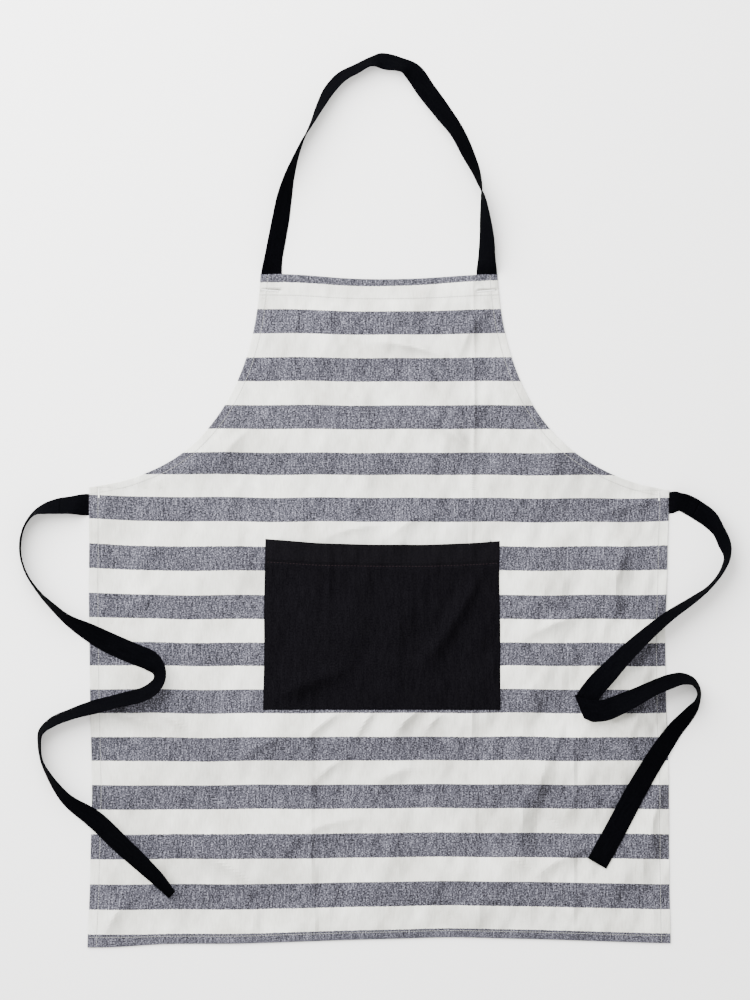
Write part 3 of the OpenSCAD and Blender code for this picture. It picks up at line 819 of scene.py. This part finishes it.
def make_hems():
    made = []
    tie_foot = TIE_Y - TIE_W / 2 - 0.4
    for side, word in ((-1, "left"), (1, "right")):
        ob = hem_strip(word + "_side_hem_fold", side_line(side, 0.3, HEM_Y + BOTTOM_HEM, tie_foot),
                       side_line(side, SIDE_HEM, HEM_Y + BOTTOM_HEM, tie_foot),
                       STRIPED, lambda x, y: (2 * np.sign(x) * HALF - x, y))
        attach(ob, "skirt")
        made.append(finish_piece(ob, "striped_cloth", word + "_side_hem"))
    ob = hem_strip("bottom_hem_fold", cross_line(HEM_Y + 0.3, HALF - 0.3),
                   cross_line(HEM_Y + BOTTOM_HEM, HALF - 0.3), STRIPED, lambda x, y: (x, 2 * HEM_Y - y))
    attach(ob, "skirt")
    made.append(finish_piece(ob, "striped_cloth", "bottom_hem"))
    inner = STRAP_X - NECK_W / 2 - 0.4
    ob = hem_strip("bib_top_hem_fold", cross_line(BIB_Y - 0.3, inner), cross_line(BIB_Y - BIB_HEM, inner),
                   STRIPED, lambda x, y: (x, 2 * BIB_Y - y))
    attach(ob, "bib")
    made.append(finish_piece(ob, "striped_cloth", "bib_top_hem"))
    for side, word in ((-1, "left"), (1, "right")):
        ob = hem_strip(word + "_armhole_hem_fold", arm_line(side, 0.3), arm_line(side, ARM_HEM), STRIPED,
                       lambda x, y: (x, y))
        across_waist(ob)
        made.append(finish_piece(ob, "striped_cloth", word + "_armhole_hem"))
    return made


def seam_of(name, line, body, node, seed):
    """A line of hem stitching; without a body of its own it runs across the waist."""
    p, n = on_cloth(line[:, 0], line[:, 1])
    ob = thread_mesh(name, stitches(p, n, seed=seed), 0.18, HEM_THREAD)
    if body is None:
        across_waist(ob)
    else:
        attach(ob, body)
    return finish_piece(ob, "white_thread", node)


def make_seams():
    made = []
    foot = HEM_Y + 1.5
    for side, word in ((-1, "left"), (1, "right")):
        made.append(seam_of(word + "_side_stitching", side_line(side, SIDE_HEM - 1, foot, TIE_Y + 10, 900),
                            "skirt", word + "_side_stitches", 20 + side))
        made.append(seam_of(word + "_armhole_stitching", arm_line(side, ARM_HEM - 1, 0.0, 0.985, 700),
                            None, word + "_armhole_stitches", 30 + side))
    made.append(seam_of("bottom_hem_stitching", cross_line(HEM_Y + BOTTOM_HEM - 1, HALF - 1.5, 1200),
                        "skirt", "bottom_hem_stitches", 41))
    made.append(seam_of("bib_hem_stitching", cross_line(BIB_Y - BIB_HEM + 1, HALF_BIB, 600),
                        "bib", "bib_hem_stitches", 43))
    return made


def bar_tack(name, x0, y0, x1, y1, width, body, node, seed):
    """A dense row of short threads laid side by side across a line."""
    rng = np.random.default_rng(seed)
    a, b = np.array([x0, y0]), np.array([x1, y1])
    length = np.linalg.norm(b - a)
    d = (b - a) / length
    n = np.array([-d[1], d[0]])
    runs = []
    for k in range(int(length / 0.5)):
        at = a + d * (0.25 + 0.5 * k + rng.uniform(-0.06, 0.06))
        lean = d * rng.uniform(-0.15, 0.15)
        tip, near_tip = (n + lean) * width / 2, n * width * 0.42
        ends = np.array([at - tip, at - near_tip, at, at + near_tip, at + tip])
        p, up = on_cloth(ends[:, 0], ends[:, 1])
        p[:, 2] += np.array([-0.1, 0.18, 0.34, 0.18, -0.1])
        runs.append((p, up[0]))
    ob = thread_mesh(name, runs, 0.24, WHITE_THREAD)
    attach(ob, body)
    return finish_piece(ob, "white_thread", node)


def make_tacks():
    x = HALF - SIDE_HEM
    top = TIE_Y + TIE_W / 2
    y = BIB_Y - SEWN + 5
    return [
        bar_tack("left_tie_bar_tack", -x, top - 12, -x, top - 1, 1.9, "skirt", "left_tie_tack", 51),
        bar_tack("right_tie_bar_tack", x, top - 12, x, top - 1, 1.9, "skirt", "right_tie_tack", 52),
        bar_tack("left_neck_bar_tack", -STRAP_X - 12, y + 0.8, -STRAP_X + 9, y - 0.6, 1.7,
                 "bib", "left_neck_strap_tack", 53),
        bar_tack("right_neck_bar_tack", STRAP_X - 12, y - 0.4, STRAP_X + 10, y + 0.6, 1.7,
                 "bib", "right_neck_strap_tack", 54),
    ]


cloth = make_cloth(STRIPED)
across_waist(cloth)
finish_piece(cloth, "striped_cloth", "skirt_panel", "bib_panel")
hems = make_hems()
seams = make_seams()
tacks = make_tacks()

# ------------------------ the pocket

PX0, PX1, PY0, PY1 = POCKET
PW, PH = PX1 - PX0, PY1 - PY0


def pocket_sag(u, v):
    """The mouth hangs a little lower in the middle; sides and bottom are near straight."""
    x = PX0 + PW * (u + 1) / 2
    y = PY1 - PH * v
    dy = (1 - v) ** 2 * (2.0 - 1.4 * u - 6.0 * (1 - u * u)) + 0.7 * v + 0.5 * ripples(x, y, 61, 90) * (1 - v)
    dx = -2.2 * bell(u, -1, 0.6) * v + 1.2 * bell(u, 1, 0.6) * v
    dx = dx + 0.5 * ripples(x * 0.5, y, 62, 80) * np.abs(u)
    return x + dx, y + dy


def pocket_folds(x, y):
    """A soft diagonal fold from the upper right, a lengthwise crease and a hollow at the lower left."""
    line = y - 40 - 1.9 * (118 - x) + 0.0055 * (118 - x) ** 2
    fold = 2.2 * np.exp(-((line / 17) ** 2)) * bell(x, 84, 42)
    fold = fold + 1.0 * np.exp(-np.sqrt(((x + 64) / 3.5) ** 2 + 0.1)) * bell(y, 45, 60)
    fold = fold + 1.7 * np.exp(-(((y - 172 + 0.42 * (x + 90)) / 11) ** 2)) * bell(x, -86, 38)
    fold = fold - 1.2 * bell(x, -84, 26) * bell(y, 192, 18)
    fold = fold + 0.8 * np.exp(-np.sqrt(((x - 100) / 4) ** 2 + 0.1)) * bell(y, 50, 30)
    return fold + 0.7 * ripples(x * 1.3, y * 0.6, 63, 60) + 0.28 * ripples(x * 1.6, y * 0.6, 64, 22)


def pocket_puff(u, v):
    lift = 6.6 * np.clip(1 - u * u, 0, 1) ** 1.2 * (1 - v**3)
    x, y = PW / 2 * u, PH * v
    soft = np.clip(1 - u * u, 0, 1) ** 0.5 * np.clip(1.02 - v**4, 0, 1)
    return lift + soft * pocket_folds(x, y)


def pocket_surface(u, v, up):
    """A point of the pocket, the given height above the underside of its cloth."""
    x, y = pocket_sag(u, v)
    rim = np.minimum((1 - np.abs(u)) * PW / 2, (1 - v) * PH)
    seat = cloth_top(x, y) + 0.55 * smooth(0.0, 0.6, rim) + 0.05
    return np.stack([x, y, seat + np.maximum(pocket_puff(u, v), 0) + up], -1)


def make_pocket():
    du = np.array([0, 0.25, 0.6, 1.1, 1.8, 2.6, 4, 6, 8.5]) / (PW / 2)
    us = np.concatenate([-1 + du, np.linspace(-1 + du[-1], 1 - du[-1], 74)[1:-1], (1 - du)[::-1]])
    dv = np.array([0, 0.25, 0.6, 1.1, 1.8, 2.6, 4, 6, 8.5]) / PH
    vs = np.concatenate([dv[:5], np.linspace(dv[4], 1 - dv[-1], 56)[1:-1], (1 - dv)[::-1]])
    u, v = np.meshgrid(us, vs)
    rim = np.minimum(np.minimum((1 - np.abs(u)) * PW / 2, (1 - v) * PH), 0.3 + v * PH)
    turn = 0.5 * (1 - np.sqrt(np.clip(1 - (1 - np.clip(rim, 0, 0.9) / 0.9) ** 2, 0, 1)))
    rim_v = v * PH
    lip = 0.35 * (1 - np.sqrt(np.clip(1 - (1 - np.clip(rim_v, 0, 0.8) / 0.8) ** 2, 0, 1)))
    groove = 0.16 * np.exp(-(((rim_v - POCKET_HEM + 1) / 1.0) ** 2))
    top = pocket_surface(u, v, CLOTH_T)
    top[..., 2] -= np.maximum(turn, lip) + groove
    bottom = pocket_surface(u, v, 0.0)
    flat = flat_of(PW / 2 * u, -PH * v)
    hills = pocket_folds(PW / 2 * u, PH * v) + 0.5 * wrinkles(*pocket_sag(u, v))
    ob = layer("pocket_cloth", top, bottom, flat, POCKET_BLACK, None, hills - 4 * groove)
    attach(ob, "skirt")
    finish_piece(ob, "black_cloth", "pocket_panel")

    us = np.linspace(-0.985, 0.985, 90)
    vs = np.array([0.0012, 0.004, 0.01, 0.03, 0.06, 0.09, 0.12, 0.132, 0.136])
    u, v = np.meshgrid(us, vs)
    up = pocket_surface(u, v, -0.05)
    down = pocket_surface(u, v, -0.55)
    floor = cloth_top(down[..., 0], down[..., 1]) + 0.06
    down[..., 2] = np.maximum(down[..., 2], floor)
    up[..., 2] = np.maximum(up[..., 2], down[..., 2] + 0.12)
    down[0, :, 2] += 0.2
    hem = layer("pocket_mouth_hem_fold", up, down, flat_of(PW / 2 * u, PH * v), POCKET_BLACK)
    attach(hem, "skirt")
    finish_piece(hem, "black_cloth", "pocket_mouth_hem")
    return ob, hem


def make_pocket_allowance():
    """The edges turned in under the pocket along its three seams."""
    line = [(-1.0, v) for v in np.linspace(0.01, 0.985, 60)]
    line += [(u, 1.0) for u in np.linspace(-0.985, 0.985, 80)]
    line += [(1.0, v) for v in np.linspace(0.985, 0.01, 60)]
    line = np.array(line)
    inset = np.array([0.5, 1.5, 3.0, 5.0, 7.0, 8.0])[:, None]
    u = np.clip(line[None, :, 0], -1 + inset / (PW / 2), 1 - inset / (PW / 2))
    v = np.minimum(line[None, :, 1], 1 - inset / PH)
    x, y = pocket_sag(u, v)
    low = cloth_top(x, y) + 0.03
    high = low + 0.45
    ob = layer("pocket_turned_edge", np.stack([x, y, high], -1), np.stack([x, y, low], -1),
               flat_of(PW / 2 * u, -PH * v), POCKET_BLACK)
    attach(ob, "skirt")
    return finish_piece(ob, "black_cloth", "pocket_seam_allowance")


def pocket_seam(name, lines, node, material, radius, seed, pitch, tufts=False):
    """Stitching along lines of the pocket, with a tuft of loose thread at one end if asked for."""
    runs = []
    for k, (u, v) in enumerate(lines):
        p = pocket_surface(u, v, CLOTH_T - 0.1)
        n = np.tile((0.0, 0.0, 1.0), (len(p), 1))
        runs += stitches(p, n, seed=seed + k, length=2.2, pitch=pitch)
    if tufts:
        base = pocket_surface(np.array([0.915]), np.array([0.004]), 0.3)[0]
        for turn, reach in ((80, 3.6), (110, 2.8), (60, 2.4)):
            s = np.linspace(0, 1, 7)
            a = math.radians(turn)
            bend = np.sin(s * 2.2) * 0.7
            rise = 0.9 * s * (1.3 - s)
            line = base + np.stack([math.cos(a) * reach * s + bend, math.sin(a) * reach * s, rise], -1)
            runs.append((line, np.array([0.0, 0.0, 1.0])))
    ob = thread_mesh(name, runs, radius, material)
    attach(ob, "skirt")
    return finish_piece(ob, "dark_thread", node)


pocket, pocket_hem = make_pocket()
pocket_edge = make_pocket_allowance()
mouth = pocket_seam("pocket_mouth_stitching", [
    (np.linspace(-0.985, 0.985, 500), np.full(500, (POCKET_HEM - 1) / PH)),
], "pocket_mouth_stitches", BLACK_THREAD, 0.20, 71, 3.9)
k_u, k_v = 1 - 4 / PW, 1 - 2 / PH  # two millimetres in from the sides and the bottom
around = pocket_seam("pocket_edge_stitching", [
    (np.full(360, -k_u), np.linspace(0.008, k_v, 360)),
    (np.full(360, k_u), np.linspace(0.008, k_v, 360)),
    (np.linspace(-k_u, k_u, 500), np.full(500, k_v)),
], "pocket_edge_stitches", STRAP_THREAD, 0.19, 75, 2.9, tufts=True)

# ------------------------ the straps


def strap_stitching(name, shape, share, seed, first, last):
    """One line of topstitching that shows on both faces of a strap."""
    c, half, nrm, plump = shape[:4]
    runs = []
    for face in (1, -1):
        p = c + half * share + nrm * (0.36 * STRAP_T * face) * plump
        runs += stitches(p[first:last], nrm[first:last] * face, length=2.4, pitch=3.2,
                         lift=0.10, sink=0.1, seed=seed + face)
    return thread_mesh(name, runs, 0.17, STRAP_THREAD, sides=5)


def drop_sewn_ends(rings, shape, at):
    """Sewn-in ends are pressed flat under the cloth."""
    c = shape[0]
    squeeze = 0.65
    for k in at:
        mid = rings[k, :, 2].mean()
        rings[k, :, 2] = TABLE_GAP + (rings[k, :, 2] - rings[k, :, 2].min()) * squeeze
        c[k, 2] += rings[k, :, 2].mean() - mid


def make_neck():
    route = [(x * STRAP_X / 130, BIB_Y + y, z, a, r) for x, y, z, a, r in NECK_ROUTE]
    rings, shape = strap_shape(route, NECK_W + 1, 81, on_table)
    n = len(rings)
    drop_sewn_ends(rings, shape, [*range(SEWN_RINGS), *range(n - SEWN_RINGS, n)])
    ob = tube_mesh("neck_strap_webbing", rings, STRAP_BLACK, strap_flat(shape[4], NECK_W))
    thread = strap_stitching("neck_strap_topstitching", shape, SEAM_SHARE, 91,
                             SEWN_RINGS + 1, n - SEWN_RINGS - 1)
    for o in (ob, thread):
        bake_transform(o)
    finish_piece(ob, "black_webbing", "neck_strap", "left_neck_strap_end", "right_neck_strap_end")


def make_tie(side, route, word, seed):
    place = [(x + side * HALF, TIE_Y + y, z, a, r) for x, y, z, a, r in route]
    rings, shape = strap_shape(place, TIE_W + 1, seed, over_ground)
    drop_sewn_ends(rings, shape, range(SEWN_RINGS))
    flat = strap_flat(shape[4], TIE_W)
    cut = int(np.argmax(np.abs(shape[0][:, 0]) > HALF + ROOT_LENGTH))
    root = tube_mesh(word + "_tie_root", rings[:cut + 1], STRAP_BLACK, flat[:cut + 1])
    root_thread = strap_stitching(word + "_tie_root_topstitching", shape, SEAM_SHARE, seed + 9,
                                  SEWN_RINGS + 2, cut + 1)
    for o in (root, root_thread):
        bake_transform(o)
    finish_piece(root, "black_webbing", word + "_tie_end")
    ob = tube_mesh(word + "_tie_webbing", rings[cut:], STRAP_BLACK, flat[cut:])
    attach(ob, word + "_tie")
    finish_piece(ob, "black_webbing", word + "_waist_tie")
    thread = strap_stitching(word + "_tie_topstitching", shape, SEAM_SHARE, seed + 5, cut, len(rings))
    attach(thread, word + "_tie")


make_neck()
make_tie(-1, LEFT_ROUTE, "left", 101)
make_tie(1, RIGHT_ROUTE, "right", 121)

# ------------------------ floor, light and camera


def make_stage():
    me = bpy.data.meshes.new("floor")
    half = 6.0
    corners = [(-half, -half, 0), (half, -half, 0), (half, half, 0), (-half, half, 0)]
    me.from_pydata(corners, [], [(0, 1, 2, 3)])
    me.materials.append(plain_floor())
    floor = bpy.data.objects.new("floor", me)
    floor.location.z = -0.0003
    bpy.context.scene.collection.objects.link(floor)


def area_light(name, location, target, size, power):
    data = bpy.data.lights.new(name, "AREA")
    data.shape = "DISK"
    data.size = size
    data.energy = power
    ob = bpy.data.objects.new(name, data)
    ob.location = location
    direction = np.array(target) - np.array(location)
    ob.rotation_mode = "QUATERNION"
    ob.rotation_quaternion = Vector(direction).to_track_quat("-Z", "Y")
    bpy.context.scene.collection.objects.link(ob)


def light_and_camera():
    world = bpy.data.worlds.new("studio")
    world.use_nodes = True
    sky = world.node_tree.nodes["Background"]
    sky.inputs["Color"].default_value = (1.0, 0.985, 0.962, 1)
    sky.inputs["Strength"].default_value = 1.9
    bpy.context.scene.world = world
    area_light("key", location=(-1.0, 1.2, 1.35), target=(0, 0, 0), size=2.7, power=196)
    data = bpy.data.cameras.new("camera")
    data.lens = 178.96
    data.sensor_width = 36
    data.clip_start, data.clip_end = 0.1, 60
    cam = bpy.data.objects.new("camera", data)
    cam.location = (-0.0048, 0.0, 6.0)
    bpy.context.scene.collection.objects.link(cam)
    bpy.context.scene.camera = cam


make_stage()
light_and_camera()
